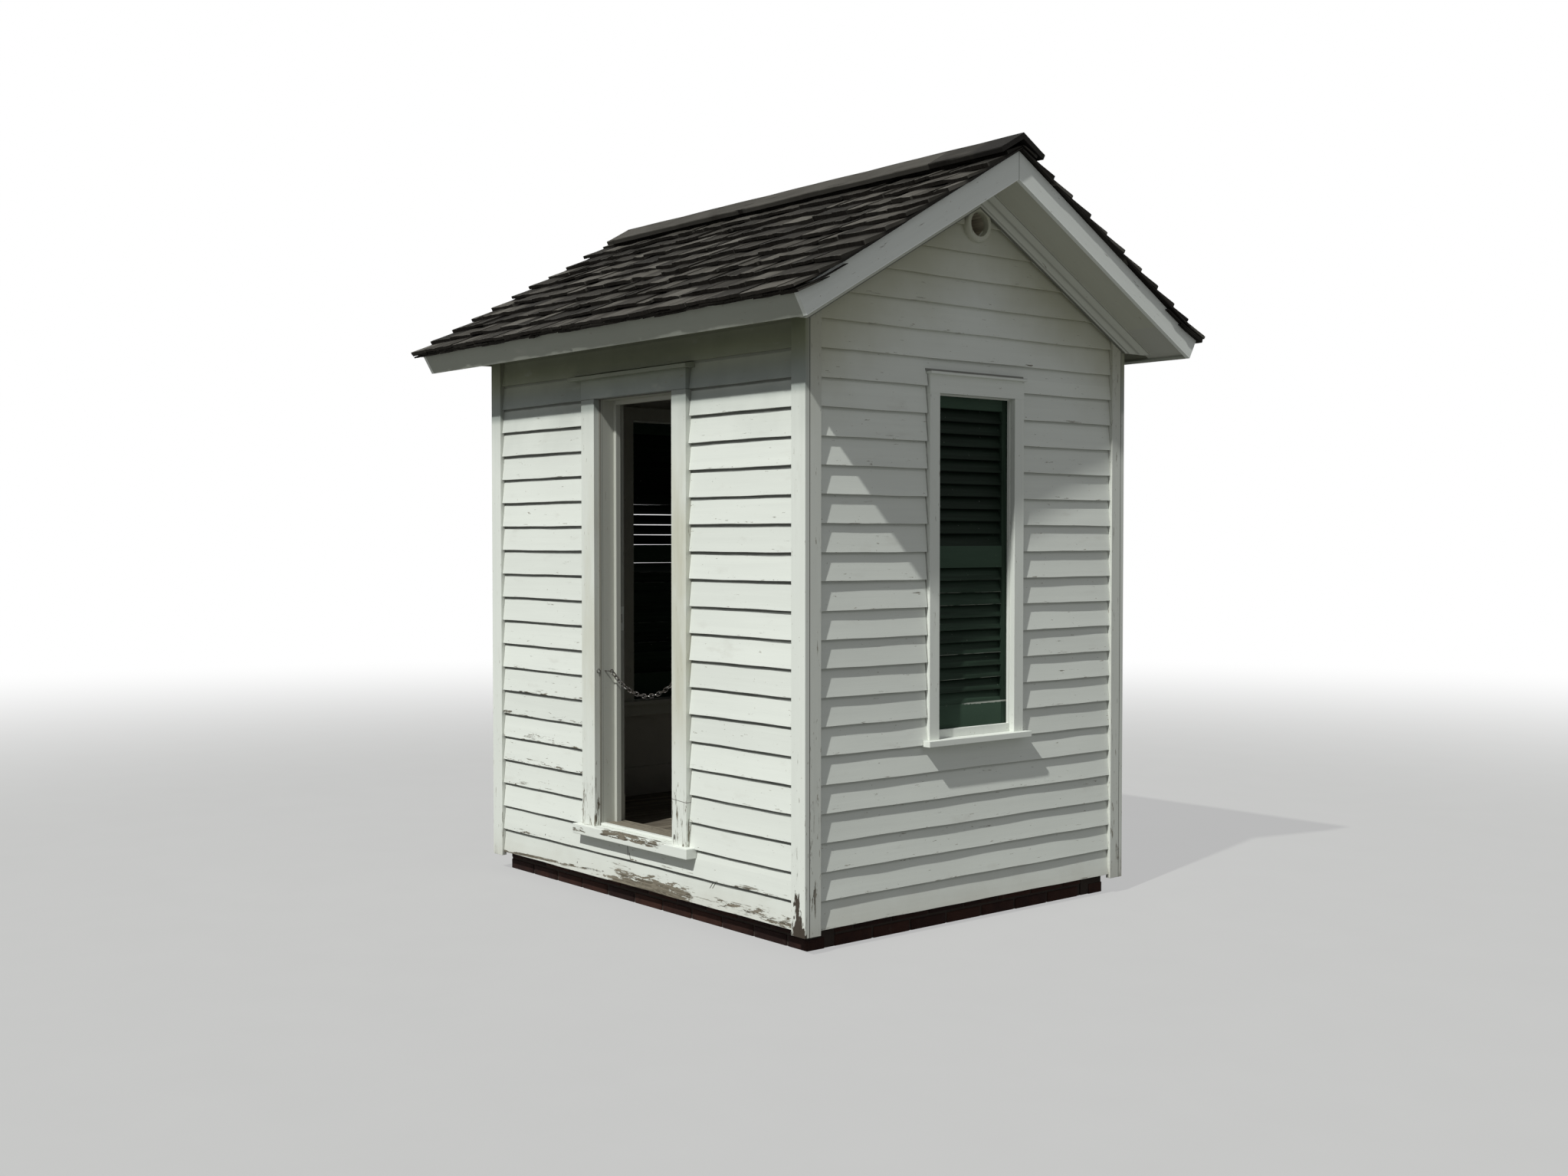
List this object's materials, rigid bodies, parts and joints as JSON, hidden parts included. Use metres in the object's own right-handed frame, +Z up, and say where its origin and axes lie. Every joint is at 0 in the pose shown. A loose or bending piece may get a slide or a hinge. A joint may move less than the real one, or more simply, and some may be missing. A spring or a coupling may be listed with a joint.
{
  "type": "wooden outhouse",
  "caption": "Small clapboarded outhouse with a gable roof of wooden shingles, an open doorway with a chain across it, louvred window shutters and a brick foundation.",
  "frame": {"origin": "on the ground, at the middle of the overall box in plan", "axes": "+X along the door wall to the right, -Y the side the doorway faces, +Z up"},
  "size_m": [2.957, 2.4816, 3.2943],
  "materials": {
    "white_painted_wood": "old white oil paint, matt, cracked and peeled in places",
    "green_painted_wood": "very dark green paint, worn at the slat edges",
    "weathered_shingles": "split wooden shingles, weathered dark grey-brown",
    "bare_boards": "bare weathered softwood boards",
    "brick": "dark red-brown brick laid in mortar",
    "rusty_iron": "dark iron with light rust"
  },
  "bodies": {
    "root": {"back_siding": "white_painted_wood", "back_wall": "white_painted_wood", "baseboard": "white_painted_wood", "ceiling": "white_painted_wood", "chain_eyes": "rusty_iron", "corner_boards_front_and_back": "white_painted_wood", "corner_boards_sides": "white_painted_wood", "door_casings": "white_painted_wood", "door_chain": "rusty_iron", "door_drip_cap": "white_painted_wood", "door_frame": "white_painted_wood", "door_head_casing": "white_painted_wood", "door_sill": "white_painted_wood", "door_stops": "white_painted_wood", "door_strike_plate": "rusty_iron", "door_threshold": "bare_boards", "eave_fascias": "white_painted_wood", "eave_soffits": "white_painted_wood", "floor_deck": "bare_boards", "floor_joists": "bare_boards", "foundation_front_and_back": "brick", "foundation_sides": "brick", "front_siding": "white_painted_wood", "front_wall_left": "white_painted_wood", "front_wall_over_door": "white_painted_wood", "front_wall_right": "white_painted_wood", "front_wall_under_door": "white_painted_wood", "gable_vent_rings": "white_painted_wood", "left_gable_siding": "white_painted_wood", "left_gable_wall": "white_painted_wood", "rafters": "bare_boards", "rake_boards_back": "white_painted_wood", "rake_boards_front": "white_painted_wood", "rake_mouldings": "white_painted_wood", "rake_soffits_back": "white_painted_wood", "rake_soffits_front": "white_painted_wood", "ridge_cap": "weathered_shingles", "right_gable_siding": "white_painted_wood", "right_gable_wall": "white_painted_wood", "roof_deck_back": "bare_boards", "roof_deck_front": "bare_boards", "shingles_back": "weathered_shingles", "shingles_front": "weathered_shingles", "window_casings": "white_painted_wood", "window_frames": "white_painted_wood", "window_head_casings": "white_painted_wood", "window_inner_casings": "white_painted_wood", "window_shutters": "green_painted_wood", "window_sills": "white_painted_wood"}
  },
  "joints": []
}
